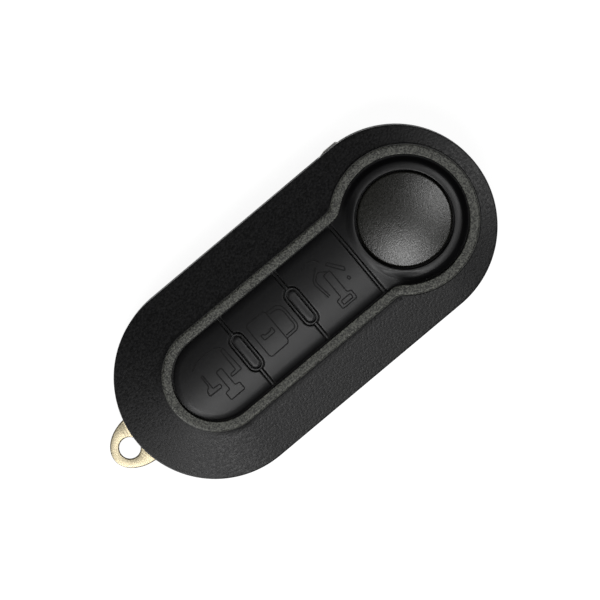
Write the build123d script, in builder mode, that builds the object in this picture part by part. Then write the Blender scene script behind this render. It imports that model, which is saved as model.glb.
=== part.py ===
from build123d import *
from math import asin, cos, degrees, radians, sin, sqrt
import os

# Flip key fob shell, in millimetres. The origin is the middle of the flat back.
# +X points to the round release button, +Y to the side where the blade folds, +Z to the keys.

# Clearances: a running fit, a loose fit, and the room round a part that swings
RUN_FIT = 0.05
SIDE_GAP = 0.1
SLOT_GAP = 0.3

# Case outline: a stadium with two round ends
CASE_R = 18.05
CASE_ARC_X = 20.95
WALL = 1.3
BACK_ROUND = 1.8
SIDE_ROUND = 0.8
SEAM = 0.15
ROOF_T = 1.1

# Keyhole opening in the front, and the flat rim round it
SLOT_HALF = 7.95
END_SHOULDER = 10.45
PIVOT_SHIFT = 1.97
NECK_ROUND = 3.8
RIM_W = 1.7
RIM_H = 2.1
RIM_ROUND = 0.2
RIM_STEP = 0.2
FLANGE = 0.85
TOP_INSET = 0.1

# Round release button, and the bezel and groove that ring it
BUTTON_R = 8.5
BUTTON_TRAVEL = 2.2
BUTTON_SAG = 1.0
BUTTON_WALL = 1.3
BUTTON_CAP = 2.2
BUTTON_ROUND = 0.4
LUG_REACH = 1.2
LUG_W = 2.5
LUG_T = 1.3
LUG_ROOF = 0.7
BEZEL_GAP = 0.35
BEZEL_W = 1.3
BEZEL_SWELL = 0.35
GROOVE_W = 1.48
GROOVE_EDGE = 0.23
GROOVE_BED = 0.6
GROOVE_DEG = 125.0

# Keys and the rubber mat that carries them
CROWN_DROP = 1.2
KEY_GAP = 0.3
KEY_TRAVEL = 0.5
KEY_ROUND = 0.2
STEM_R = 1.6
STEM_DROP = 0.2
MAT_T = 0.8
RIB_W = 0.35
DIVIDER_BACK = 0.77
UNLOCK_PITCH = 12.98
LOCK_PITCH = 12.67
PILL_L = 7.8
PILL_W = 2.7
PILL_LAND = 0.3
PILL_GROOVE = 0.25
PILL_GROOVE_D = 0.7

# Inner frame: floor, plate, collar of the button and the posts between
FLOOR_T = 1.0
PLATE_T = 1.0
BOARD_ROOM = 0.8
SHELF_W = 0.5
COLLAR_T = 2.05
COLLAR_LIFT = 1.4
CHANNEL_T = 1.0
GUIDE_T = 1.0
POST_R = 2.1
POST_SIDE = 3.5
POST_INSET = 6.0
PEG_R = 0.8
PEG_SIDE = 6.0
PEG_END = 8.0
PRESS_RIB_L = 4.0
PRESS_RIB_W = 1.0
PRESS_RIB_PITCH = 18.0
PRESS_RIB_INSET = 5.55
SCREW_R = 0.95
SCREW_END = 2.5
SCREW_BORE_END = 1.5
SCREW_HEAD_R = 1.7
SCREW_HEAD_T = 0.6
CROSS_L = 2.2
CROSS_W = 0.4

# Snap hooks of the front cover, which catch in pockets of the rear cover
HOOK_W = 5.0
HOOK_T = 1.0
HOOK_DROP = 2.2
HOOK_RISE = 2.0
HOOK_NIB = 0.4
HOOK_NIB_H = 0.8
HOOK_ARC_DEG = 50.0
HOOK_BACK = 8.4

# Hub and blade
HUB_INSET = 0.48
HUB_GAP = 0.15
HUB_FLOOR = 1.0
HUB_WEB = 1.0
CHEEK_LOW = 1.35
CHEEK_TOP = 1.55
JOURNAL_WALL = 1.0
JOURNAL_GAP = 1.3
BLADE_W = 7.8
BLADE_T = 2.4
BLADE_INSET = 1.25
BLADE_TIP_BACK = 6.05
TIP_L = 3.2
TIP_W = 2.8
MILL_W = 1.6
MILL_D = 0.7
MILL_Y = 1.6
MILL_END = 3.0
NECK_SIDE = 0.5
NECK_END = 2.7
HEEL_BACK = 3.32
HEEL_L = 2.6
HEEL_OUT = 0.35
TANG_UP = 1.55
PIN_R = 0.9
PIN_BACK = 2.3

# Coil spring between the hub and the button
SPRING_WIRE = 0.9
SPRING_TURNS = 4
SPRING_SIDE_GAP = 1.25
WIRE_SIDES = 8

# Keyring tab
TAB_SHIFT = 1.0
TAB_A = 6.5
TAB_B = 4.65
TAB_T = 1.2
TAB_POST_BACK = 6.8
TAB_TAIL = 4.0
RING_OUT = 2.95
RING_R = 1.93
SEAT_L = 5.0
CLAMP_L = 6.2
CLAMP_W = 7.2

# Battery tray for a 20 mm coin cell, in the side away from the blade
CELL_R = 10.1
CELL_BACK = 28.92
CELL_WALL = 0.9
CELL_REAR = 0.6
TRAY_H = 3.85
TRAY_GAP = 0.15
TRAY_ROOM = 0.2
TRAY_FLOOR = 0.5
TRAY_FRONT = 1.25
FACE_INSET = 0.05
LOCK_INSET = 1.7
LOCK_R = 1.45
LOCK_SLOT_W = 0.5
LOCK_SLOT_D = 0.6
CAM_L = 2.6
CAM_W = 1.8
CAM_T = 0.8

# Leaf contacts above the cell
LEAF_T = 0.3
LEAF_W = 3.0
LEAF_BACK = 9.0
LEAF_FOOT = 4.0
LEAF_TOE = 2.0
LEAF_LIFT = 1.2
LEAF_GAP = 0.4
LEAF_BEND = 0.5
LEAF_TAIL = 0.4
LEAF_SIDE = 2.0
LEAF_PITCH = 6.5

# Heights of the layers, from the back up
FLOOR_TOP = WALL + FLOOR_T
TRAY_Z0 = FLOOR_TOP + TRAY_GAP
TRAY_Z1 = TRAY_Z0 + TRAY_H
PART_Z = TRAY_Z1 + TRAY_ROOM
BLADE_Z = PART_Z + SLOT_GAP
BLADE_TOP = BLADE_Z + BLADE_T
HUB_Z0 = BLADE_Z - CHEEK_LOW
HUB_Z1 = BLADE_TOP + CHEEK_TOP
PLATE_Z = HUB_Z1 + HUB_GAP
PLATE_TOP = PLATE_Z + PLATE_T
MAT_Z = PLATE_TOP + BOARD_ROOM
LIP_Z = MAT_Z + MAT_T
CASE_T = LIP_Z + RIM_H
ROOF_Z = PLATE_TOP + SIDE_GAP
SIDE_TOP_Z = ROOF_Z + ROOF_T

# Heights in the hub, under the button
JOURNAL_Z = FLOOR_TOP + JOURNAL_GAP
CUP_Z = JOURNAL_Z + HUB_FLOOR
LUG_TOP_Z = PLATE_Z - LUG_ROOF
SKIRT_Z = LUG_TOP_Z - LUG_T
HUB_WELL_Z = SKIRT_Z - BUTTON_TRAVEL - SLOT_GAP
COLLAR_Z = HUB_WELL_Z + COLLAR_LIFT
BUTTON_TOP_Z = CASE_T - TOP_INSET
CAP_Z = BUTTON_TOP_Z - BUTTON_CAP

# Heights of the face
CROWN_Z = CASE_T - TOP_INSET
CROWN_R = (SLOT_HALF**2 + CROWN_DROP**2) / (2 * CROWN_DROP)
KEY_Z = LIP_Z + KEY_TRAVEL + RUN_FIT
PILL_GROOVE_Z = CROWN_Z - PILL_GROOVE_D
BEZEL_CREST_Z = CASE_T - RUN_FIT
BEZEL_EDGE_Z = BEZEL_CREST_Z - BEZEL_SWELL
GROOVE_Z = LIP_Z + GROOVE_BED

# Rings about the pivot, from the middle of the button out
PIVOT_X = CASE_ARC_X + PIVOT_SHIFT
DOME_R = (BUTTON_R**2 + BUTTON_SAG**2) / (2 * BUTTON_SAG)
DOME_DEG = degrees(asin(BUTTON_R / DOME_R))
CUP_R = BUTTON_R - BUTTON_WALL
JOURNAL_R = CUP_R + JOURNAL_WALL
SPRING_R = CUP_R - SPRING_SIDE_GAP - SPRING_WIRE / 2
LUG_R = BUTTON_R + LUG_REACH
LUG_L = LUG_REACH + BUTTON_WALL / 2
COLLAR_BORE = BUTTON_R + RUN_FIT
COLLAR_R = COLLAR_BORE + COLLAR_T
BORE_R = COLLAR_R + RUN_FIT
BEZEL_R0 = BUTTON_R + BEZEL_GAP
BEZEL_R1 = BEZEL_R0 + BEZEL_W
EYE_R = BEZEL_R1 + GROOVE_W
GROOVE_R = EYE_R - GROOVE_EDGE

# Keys along the slot, from its round end to the bezel
CASE_END_X = CASE_ARC_X + CASE_R
SLOT_LEFT_X = END_SHOULDER + SLOT_HALF - CASE_END_X
DIVIDER_X = PIVOT_X - BEZEL_R1 - DIVIDER_BACK
RIB_X = [DIVIDER_X - UNLOCK_PITCH - LOCK_PITCH, DIVIDER_X - UNLOCK_PITCH, DIVIDER_X]
KEY_EDGES = [SLOT_LEFT_X - SLOT_HALF] + RIB_X
PILL_PLACES = [(rib_x, 0) for rib_x in RIB_X[:2]]

# Walls of the case and the slope of its shoulder
CAVITY_R = CASE_R - WALL
FRAME_R = CAVITY_R - SIDE_GAP
SHOULDER_RUN = CASE_R - SLOT_HALF - RIM_W / 2
SLOPE = (CASE_T - RIM_STEP - SIDE_TOP_Z) / SHOULDER_RUN
OPEN_END = CASE_END_X + CASE_R

# The blade lies along the side wall, and its tang keeps clear of the bore of the hub
HUB_R = CASE_END_X - PIVOT_X - HUB_INSET
BLADE_Y1 = CASE_R - BLADE_INSET
BLADE_Y0 = BLADE_Y1 - BLADE_W
BLADE_Y = (BLADE_Y0 + BLADE_Y1) / 2
BLADE_TIP_X = -CASE_ARC_X - BLADE_TIP_BACK
TANG_X = PIVOT_X - sqrt((BORE_R + HUB_WEB) ** 2 - BLADE_Y0**2)
TANG_Y0 = BORE_R + TANG_UP
HEEL_X0 = PIVOT_X - HEEL_BACK
HEEL_X1 = HEEL_X0 + HEEL_L
HEEL_Y = CASE_R + HEEL_OUT
PIN_X = TANG_X - PIN_BACK
NECK_X0 = PIN_X - NECK_END
SLOT_Z0 = HUB_Z0 - HUB_GAP
SLOT_X0 = BLADE_TIP_X - 5 * SLOT_GAP
SLOT_X1 = NECK_X0 - SLOT_GAP
STOP_X = PIVOT_X - SLOT_GAP
CHANNEL_Y1 = BLADE_Y0 - SLOT_GAP
CHANNEL_Y0 = CHANNEL_Y1 - CHANNEL_T
CHANNEL_X1 = NECK_X0 - 4 * CHANNEL_T

# Tray, cell and lock
CELL_X = PIVOT_X - CELL_BACK
TRAY_X0 = CELL_X - CELL_R - CELL_WALL
TRAY_X1 = CELL_X + CELL_R + CELL_WALL
TRAY_Y0 = FACE_INSET - CASE_R
CELL_Y = TRAY_Y0 + TRAY_FRONT + CELL_R
TRAY_Y1 = CELL_Y + CELL_R + CELL_REAR
LOCK_X = TRAY_X1 - LOCK_INSET
LOCK_Z = (TRAY_Z0 + TRAY_Z1) / 2
CAM_Y = TRAY_Y0 + TRAY_FRONT + RUN_FIT
LEAF_X = CELL_X - LEAF_BACK
LEAF_Y = [CELL_Y + LEAF_SIDE, CELL_Y + LEAF_SIDE + LEAF_PITCH]

# Keyring tab, screw posts and pegs
TAB_X = TAB_SHIFT - CASE_END_X
RING_X = TAB_X - RING_OUT
TAB_POST_X = TAB_POST_BACK - CASE_END_X
TAB_TAIL_X = TAB_POST_X + TAB_TAIL
POST_Y = POST_INSET - CASE_R
SCREW_PLACES = [(TRAY_X0 - POST_SIDE, POST_Y), (TRAY_X1 + POST_SIDE, POST_Y), (TAB_POST_X, 0)]
SCREW_END_Z = FLOOR_TOP + SCREW_END
PEG_PLACES = [(TAB_TAIL_X, -PEG_SIDE), (CASE_END_X - PEG_END, 0)]

os.makedirs("parts", exist_ok=True)


def save(builder, name):
    """Label a finished piece and write it as its own file."""
    builder.part.label = name
    export_step(builder.part, "parts/" + name + ".step")


def stadium(radius, mode=Mode.ADD):
    """The outline of the case, drawn to any end radius."""
    SlotCenterToCenter(2 * CASE_ARC_X, 2 * radius, mode=mode)


def block(x0, x1, y0, y1, z0, z1, mode=Mode.ADD):
    """A box given by its limits along each axis."""
    with Locations(((x0 + x1) / 2, (y0 + y1) / 2, (z0 + z1) / 2)):
        Box(x1 - x0, y1 - y0, z1 - z0, mode=mode)


def rod(x, y, z0, z1, radius, mode=Mode.ADD):
    """An upright cylinder between two heights."""
    with Locations((x, y, z0)):
        Cylinder(radius, z1 - z0, align=(Align.CENTER, Align.CENTER, Align.MIN), mode=mode)


def crown(mode=Mode.INTERSECT):
    """The long cylinder whose top is the curved face of the keys."""
    with Locations((0, 0, CROWN_Z - CROWN_R)):
        Cylinder(CROWN_R, 2 * OPEN_END, rotation=(0, 90, 0), mode=mode)


def hook_ring(z0, z1, inner, outer, side_gap=0.0, mode=Mode.ADD):
    """Short pieces of a ring inside the side wall, one at each snap hook."""
    with BuildSketch(Plane.XY.offset(z0)) as ring:
        stadium(outer)
        stadium(inner, Mode.SUBTRACT)
        add(hook_zone.sketch, mode=Mode.INTERSECT)
        if side_gap:
            offset(amount=side_gap, kind=Kind.INTERSECTION)
    extrude(ring.sketch, amount=z1 - z0, mode=mode)


# Keyhole outline of the opening, used by the cover, the mat and the frame
with BuildSketch() as opening:
    with Locations((SLOT_LEFT_X, 0)):
        Circle(SLOT_HALF)
    with Locations(((SLOT_LEFT_X + PIVOT_X) / 2, 0)):
        Rectangle(PIVOT_X - SLOT_LEFT_X, 2 * SLOT_HALF)
    with Locations((PIVOT_X, 0)):
        Circle(EYE_R)
    neck_x = PIVOT_X - sqrt(EYE_R**2 - SLOT_HALF**2)
    neck = opening.vertices().filter_by_position(Axis.X, neck_x - SIDE_GAP, neck_x + SIDE_GAP)
    fillet(neck, NECK_ROUND)

# Places of the three snap hooks: two on the end by the tab, one on the side away from the blade
with BuildSketch() as hook_zone:
    with Locations((-CASE_ARC_X, 0)):
        with PolarLocations(CAVITY_R, 2, start_angle=180 - HOOK_ARC_DEG, angular_range=4 * HOOK_ARC_DEG):
            Rectangle(4 * WALL, HOOK_W)
    with Locations((PIVOT_X - HOOK_BACK, -CAVITY_R)):
        Rectangle(HOOK_W, 4 * WALL)

# Raised rim of the front cover, with its top edges rounded
with BuildPart() as rim:
    with BuildSketch(Plane.XY.offset(LIP_Z)):
        add(opening.sketch)
        offset(amount=RIM_W, kind=Kind.ARC)
        add(opening.sketch, mode=Mode.SUBTRACT)
    extrude(amount=CASE_T - LIP_Z)
    fillet(rim.faces().sort_by(Axis.Z)[-1].edges(), RIM_ROUND)

# Front cover: side wall, sloping shoulder and raised keyhole rim
with BuildPart() as front_cover:
    with BuildSketch(Plane.XY.offset(PART_Z)):
        stadium(CASE_R)
    extrude(amount=SIDE_TOP_Z - PART_Z)
    with BuildSketch(Plane.XY.offset(SIDE_TOP_Z)):
        stadium(CASE_R)
    with BuildSketch(Plane.XY.offset(SIDE_TOP_Z + SHOULDER_RUN * SLOPE)):
        stadium(CASE_R - SHOULDER_RUN)
    loft(ruled=True)
    side_edges = front_cover.edges().filter_by_position(
        Axis.Z, SIDE_TOP_Z - RUN_FIT, SIDE_TOP_Z + RUN_FIT
    )
    fillet(side_edges, SIDE_ROUND)
    chamfer(front_cover.faces().sort_by(Axis.Z)[0].edges(), SEAM)
    with BuildSketch(Plane.XY.offset(PART_Z)):
        stadium(CAVITY_R)
    extrude(amount=ROOF_Z - PART_Z, mode=Mode.SUBTRACT)
    with BuildSketch(Plane.XY.offset(ROOF_Z)):
        stadium(CAVITY_R)
    with BuildSketch(Plane.XY.offset(LIP_Z)):
        stadium(CAVITY_R - (LIP_Z - ROOF_Z) / SLOPE)
    loft(ruled=True, mode=Mode.SUBTRACT)
    with BuildSketch(Plane.XY.offset(PLATE_Z)):
        add(opening.sketch)
        offset(amount=FLANGE + SIDE_GAP, kind=Kind.ARC)
    extrude(amount=LIP_Z - PLATE_Z, mode=Mode.SUBTRACT)
    with BuildSketch(Plane.XY.offset(LIP_Z)):
        add(opening.sketch)
    extrude(amount=CASE_T, mode=Mode.SUBTRACT)
    add(rim.part)
    # Ribs under the shoulder press the frame down
    with BuildSketch(Plane.XY.offset(PLATE_TOP)):
        with Locations((CELL_X, 0)):
            with GridLocations(PRESS_RIB_PITCH, 2 * (CASE_R - PRESS_RIB_INSET), 2, 2):
                Rectangle(PRESS_RIB_L, PRESS_RIB_W)
    extrude(amount=LIP_Z - PLATE_TOP)
    # Snap hooks: a foot on the wall, a tongue that hangs past the joint, and its nib
    hook_r = CAVITY_R - SIDE_GAP
    hook_ring(PART_Z, PART_Z + HOOK_RISE, hook_r - HOOK_T, CAVITY_R + WALL / 2)
    hook_ring(PART_Z - HOOK_DROP, PART_Z, hook_r - HOOK_T, hook_r)
    hook_ring(PART_Z - HOOK_DROP, PART_Z - HOOK_DROP + HOOK_NIB_H, hook_r - HOOK_T, hook_r + HOOK_NIB)
    # Side slot for the blade, and the taller slot for the hub
    block(SLOT_X0, NECK_X0, 0, OPEN_END, PART_Z, BLADE_TOP + SLOT_GAP, Mode.SUBTRACT)
    block(SLOT_X1, OPEN_END, 0, OPEN_END, PART_Z, PLATE_Z, Mode.SUBTRACT)
    block(STOP_X, OPEN_END, -OPEN_END, WALL, PART_Z, PLATE_Z, Mode.SUBTRACT)
    # Mouth for the keyring tab
    mouth = TAB_B + SIDE_GAP
    block(-OPEN_END, TAB_POST_X, -mouth, mouth, PART_Z, PART_Z + TAB_T + RUN_FIT, Mode.SUBTRACT)
save(front_cover, "front_cover")

# Rear cover: flat back with rounded edges
with BuildPart() as rear_cover:
    with BuildSketch():
        stadium(CASE_R)
    extrude(amount=PART_Z)
    fillet(rear_cover.faces().sort_by(Axis.Z)[0].edges(), BACK_ROUND)
    chamfer(rear_cover.faces().sort_by(Axis.Z)[-1].edges(), SEAM)
    with BuildSketch(Plane.XY.offset(WALL)):
        stadium(CAVITY_R)
    extrude(amount=PART_Z, mode=Mode.SUBTRACT)
    block(SLOT_X1, OPEN_END, 0, OPEN_END, SLOT_Z0, OPEN_END, Mode.SUBTRACT)
    block(STOP_X, OPEN_END, -OPEN_END, WALL, SLOT_Z0, OPEN_END, Mode.SUBTRACT)
    # Mouth for the battery tray
    block(
        TRAY_X0 - SIDE_GAP, TRAY_X1 + SIDE_GAP, -OPEN_END, WALL - CAVITY_R,
        TRAY_Z0 - SIDE_GAP, OPEN_END, Mode.SUBTRACT,
    )
    # Pockets for the nibs of the snap hooks
    nib_z = PART_Z - HOOK_DROP
    nib_r = CAVITY_R - SIDE_GAP + HOOK_NIB
    hook_ring(
        nib_z - SIDE_GAP, nib_z + HOOK_NIB_H + SIDE_GAP, CAVITY_R - WALL, nib_r,
        side_gap=SIDE_GAP, mode=Mode.SUBTRACT,
    )
    # Pegs that place the frame
    for peg_x, peg_y in PEG_PLACES:
        rod(peg_x, peg_y, WALL, FLOOR_TOP, PEG_R)
save(rear_cover, "rear_cover")

# Lower half of the inner frame
with BuildPart() as chassis_lower:
    with BuildSketch(Plane.XY.offset(WALL)):
        stadium(FRAME_R)
    extrude(amount=FLOOR_T)
    rod(PIVOT_X, 0, FLOOR_TOP, HUB_Z0 - RUN_FIT, JOURNAL_R + RUN_FIT + WALL)
    # Inner wall of the blade channel
    block(SLOT_X0, CHANNEL_X1, CHANNEL_Y0, CHANNEL_Y1, FLOOR_TOP, PLATE_Z)
    # Guides of the battery tray
    for guide_x in (TRAY_X0 - SIDE_GAP - GUIDE_T, TRAY_X1 + SIDE_GAP):
        block(guide_x, guide_x + GUIDE_T, WALL - CAVITY_R, CHANNEL_Y0, FLOOR_TOP, TRAY_Z1)
    # Seat of the keyring tab
    block(TAB_POST_X - SEAT_L / 2, TAB_POST_X + SEAT_L / 2, -TAB_B, TAB_B, FLOOR_TOP, PART_Z)
    for post_x, post_y in SCREW_PLACES:
        rod(post_x, post_y, FLOOR_TOP, PLATE_Z, POST_R)
    for post_x, post_y in SCREW_PLACES:
        rod(post_x, post_y, FLOOR_TOP + SCREW_BORE_END, PLATE_Z, SCREW_R, Mode.SUBTRACT)
    rod(PIVOT_X, 0, FLOOR_TOP, HUB_Z0, JOURNAL_R + RUN_FIT, Mode.SUBTRACT)
    for peg_x, peg_y in PEG_PLACES:
        rod(peg_x, peg_y, 0, FLOOR_TOP, PEG_R + RUN_FIT, Mode.SUBTRACT)
save(chassis_lower, "chassis_lower")

# Upper half of the inner frame: plate, collar of the button and wall under the mat
with BuildPart() as chassis_upper:
    with BuildSketch(Plane.XY.offset(PLATE_Z)):
        stadium(FRAME_R)
    extrude(amount=PLATE_T)
    with BuildSketch(Plane.XY.offset(PLATE_TOP)):
        add(opening.sketch)
        offset(amount=FLANGE, kind=Kind.ARC)
    extrude(amount=BOARD_ROOM)
    with BuildSketch(Plane.XY.offset(PLATE_TOP)):
        add(opening.sketch)
        offset(amount=-SHELF_W, kind=Kind.ARC)
    extrude(amount=BOARD_ROOM, mode=Mode.SUBTRACT)
    rod(PIVOT_X, 0, COLLAR_Z, PLATE_Z, COLLAR_R)
    # Clamp over the keyring tab
    with BuildSketch(Plane.XY.offset(PART_Z + TAB_T)):
        with Locations((TAB_POST_X, 0)):
            Rectangle(CLAMP_L, CLAMP_W)
            Circle(POST_R + RUN_FIT, mode=Mode.SUBTRACT)
    extrude(amount=PLATE_Z - PART_Z - TAB_T)
    rod(PIVOT_X, 0, COLLAR_Z, PLATE_TOP, COLLAR_BORE, Mode.SUBTRACT)
    # Three blind keyways that stop the button from turning
    with BuildSketch(Plane.XY.offset(COLLAR_Z)):
        with Locations((PIVOT_X, 0)):
            with PolarLocations(LUG_R - LUG_L / 2, 3, start_angle=60):
                Rectangle(LUG_L + 2 * SIDE_GAP, LUG_W + 2 * SIDE_GAP)
    extrude(amount=LUG_TOP_Z + SIDE_GAP - COLLAR_Z, mode=Mode.SUBTRACT)
    for hole_x, hole_y in SCREW_PLACES:
        rod(hole_x, hole_y, PLATE_Z, PLATE_TOP, SCREW_R + SIDE_GAP, Mode.SUBTRACT)
    # Slots where the tails of the contacts reach the board
    with BuildSketch(Plane.XY.offset(PLATE_Z)):
        for leaf_y in LEAF_Y:
            with Locations((LEAF_X, leaf_y)):
                Rectangle(LEAF_T + 2 * SLOT_GAP, LEAF_W + 2 * SIDE_GAP)
    extrude(amount=PLATE_T, mode=Mode.SUBTRACT)
save(chassis_upper, "chassis_upper")

# Screws that hold the two halves of the frame together
for number, (screw_x, screw_y) in enumerate(SCREW_PLACES, start=1):
    with BuildPart() as chassis_screw:
        rod(screw_x, screw_y, SCREW_END_Z, PLATE_TOP, SCREW_R)
        rod(screw_x, screw_y, PLATE_TOP, PLATE_TOP + SCREW_HEAD_T, SCREW_HEAD_R)
        with BuildSketch(Plane.XY.offset(PLATE_TOP + SCREW_HEAD_T / 2)):
            with Locations((screw_x, screw_y)):
                Rectangle(CROSS_L, CROSS_W)
                Rectangle(CROSS_W, CROSS_L)
        extrude(amount=SCREW_HEAD_T, mode=Mode.SUBTRACT)
    save(chassis_screw, "chassis_screw_" + str(number))

# Raised parts of the mat that share the curve of the keys: bars, pills and the pad by the button
with BuildPart() as bars:
    rib_y = SLOT_HALF - KEY_GAP
    for rib_x in RIB_X:
        block(rib_x - RIB_W / 2, rib_x + RIB_W / 2, -rib_y, rib_y, MAT_Z, CASE_T)
    with BuildSketch(Plane.XY.offset(MAT_Z)):
        with Locations(*PILL_PLACES):
            SlotOverall(PILL_L, PILL_W, rotation=90)
    extrude(amount=CASE_T - MAT_Z)
    with BuildSketch(Plane.XY.offset(MAT_Z)):
        add(opening.sketch)
        offset(amount=-SIDE_GAP, kind=Kind.ARC)
        with Locations((DIVIDER_X + RIB_W / 2 + KEY_GAP - OPEN_END / 2, 0)):
            Rectangle(OPEN_END, OPEN_END, mode=Mode.SUBTRACT)
    extrude(amount=CASE_T - MAT_Z)
    crown()
    with BuildSketch(Plane.XY.offset(PILL_GROOVE_Z)):
        with Locations(*PILL_PLACES):
            SlotOverall(PILL_L - 2 * PILL_LAND, PILL_W - 2 * PILL_LAND, rotation=90)
            island = 2 * (PILL_LAND + PILL_GROOVE)
            SlotOverall(PILL_L - island, PILL_W - island, rotation=90, mode=Mode.SUBTRACT)
    extrude(amount=CASE_T, mode=Mode.SUBTRACT)

# Rubber mat: thin sheet with a flange under the rim, the raised parts, and the bezel of the button
with BuildPart() as keypad_mat:
    with BuildSketch(Plane.XY.offset(MAT_Z)):
        add(opening.sketch)
        offset(amount=FLANGE, kind=Kind.ARC)
    extrude(amount=MAT_T)
    add(bars.part)
    # Groove between the bezel and the rim, open towards the keys
    groove_start = (cos(radians(GROOVE_DEG)), -sin(radians(GROOVE_DEG)))
    groove_plane = Plane(
        (PIVOT_X, 0, 0), x_dir=(*groove_start, 0), z_dir=(groove_start[1], -groove_start[0], 0)
    )
    with BuildSketch(groove_plane):
        with BuildLine():
            Polyline(
                (BEZEL_R1, BEZEL_EDGE_Z), (GROOVE_R, GROOVE_Z), (EYE_R + RIM_W, GROOVE_Z),
                (EYE_R + RIM_W, CASE_T), (BEZEL_R1, CASE_T), (BEZEL_R1, BEZEL_EDGE_Z),
            )
        make_face()
    revolve(axis=Axis((PIVOT_X, 0, 0), (0, 0, 1)), revolution_arc=2 * GROOVE_DEG, mode=Mode.SUBTRACT)
    with BuildSketch(Plane.XZ):
        with BuildLine():
            inner = Line((PIVOT_X + BEZEL_R0, LIP_Z), (PIVOT_X + BEZEL_R0, BEZEL_EDGE_Z))
            lip = ThreePointArc(
                inner @ 1,
                (PIVOT_X + (BEZEL_R0 + BEZEL_R1) / 2, BEZEL_CREST_Z),
                (PIVOT_X + BEZEL_R1, BEZEL_EDGE_Z),
            )
            Polyline(lip @ 1, (PIVOT_X + BEZEL_R1, LIP_Z), inner @ 0)
        make_face()
    revolve(axis=Axis((PIVOT_X, 0, 0), (0, 0, 1)))
    rod(PIVOT_X, 0, 0, CASE_T, BEZEL_R0, Mode.SUBTRACT)
    for left, right in zip(KEY_EDGES, KEY_EDGES[1:]):
        rod((left + right) / 2, 0, 0, LIP_Z, STEM_R + RUN_FIT, Mode.SUBTRACT)
save(keypad_mat, "keypad_mat")

# Three key tops, each on a stem that passes through the mat
KEY_NAMES = ["boot_key", "lock_key", "unlock_key"]
for name, left, right in zip(KEY_NAMES, KEY_EDGES, KEY_EDGES[1:]):
    key_x0 = left + RIB_W / 2 + KEY_GAP if left in RIB_X else left
    key_x1 = right - RIB_W / 2 - KEY_GAP
    with BuildPart() as key:
        with BuildSketch(Plane.XY.offset(KEY_Z)):
            add(opening.sketch)
            offset(amount=-KEY_GAP, kind=Kind.ARC)
            with Locations(((key_x0 + key_x1) / 2, 0)):
                Rectangle(key_x1 - key_x0, 2 * SLOT_HALF, mode=Mode.INTERSECT)
        extrude(amount=CASE_T - KEY_Z)
        crown()
        fillet(key.faces().sort_by(Axis.Z)[-1].edges(), KEY_ROUND)
        with BuildSketch(Plane.XY.offset(KEY_Z)):
            with Locations(*PILL_PLACES):
                SlotOverall(PILL_L + 2 * KEY_GAP, PILL_W + 2 * KEY_GAP, rotation=90)
        extrude(amount=CASE_T, mode=Mode.SUBTRACT)
        rod((left + right) / 2, 0, MAT_Z - STEM_DROP, KEY_Z + KEY_TRAVEL, STEM_R)
    save(key, name)

# Release button: domed cap with a skirt and three lugs
with BuildPart() as release_button:
    skirt_r = BUTTON_R - BUTTON_WALL
    with BuildSketch(Plane.XZ) as button_profile:
        with BuildLine():
            dome = CenterArc((PIVOT_X, BUTTON_TOP_Z - DOME_R), DOME_R, 90 - DOME_DEG, DOME_DEG)
            Polyline(
                dome @ 0, (PIVOT_X + BUTTON_R, SKIRT_Z), (PIVOT_X + skirt_r, SKIRT_Z),
                (PIVOT_X + skirt_r, CAP_Z), (PIVOT_X, CAP_Z), dome @ 1,
            )
        make_face()
        brim = button_profile.vertices().group_by(Axis.X)[-1].sort_by(Axis.Y)[-1]
        fillet(brim, BUTTON_ROUND)
    revolve(axis=Axis((PIVOT_X, 0, 0), (0, 0, 1)))
    with BuildSketch(Plane.XY.offset(SKIRT_Z)):
        with Locations((PIVOT_X, 0)):
            with PolarLocations(LUG_R - LUG_L / 2, 3, start_angle=60):
                Rectangle(LUG_L, LUG_W)
    extrude(amount=LUG_T)
save(release_button, "release_button")

# Coil spring between the hub and the button
with BuildPart() as flip_spring:
    spring_z0 = CUP_Z + RUN_FIT + SPRING_WIRE / 2
    spring_h = CAP_Z - RUN_FIT - SPRING_WIRE / 2 - spring_z0
    with BuildLine() as coil:
        Helix(spring_h / SPRING_TURNS, spring_h, SPRING_R, center=(PIVOT_X, 0, spring_z0))
    with BuildSketch(Plane(origin=coil.line @ 0, z_dir=coil.line % 0)):
        RegularPolygon(SPRING_WIRE / 2, WIRE_SIDES)
    sweep(path=coil.line, is_frenet=True)
save(flip_spring, "flip_spring")

# Blade outline from heel to tip, used by the blade and by its pocket in the hub
with BuildSketch() as blade_outline:
    with BuildLine():
        Polyline(
            (BLADE_TIP_X, BLADE_Y - TIP_W / 2), (BLADE_TIP_X + TIP_L, BLADE_Y0), (TANG_X, BLADE_Y0),
            (TANG_X, TANG_Y0), (HEEL_X1, TANG_Y0), (HEEL_X1, HEEL_Y), (HEEL_X0, HEEL_Y),
            (HEEL_X0, BLADE_Y1), (BLADE_TIP_X + TIP_L, BLADE_Y1), (BLADE_TIP_X, BLADE_Y + TIP_W / 2),
            (BLADE_TIP_X, BLADE_Y - TIP_W / 2),
        )
    make_face()

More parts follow.
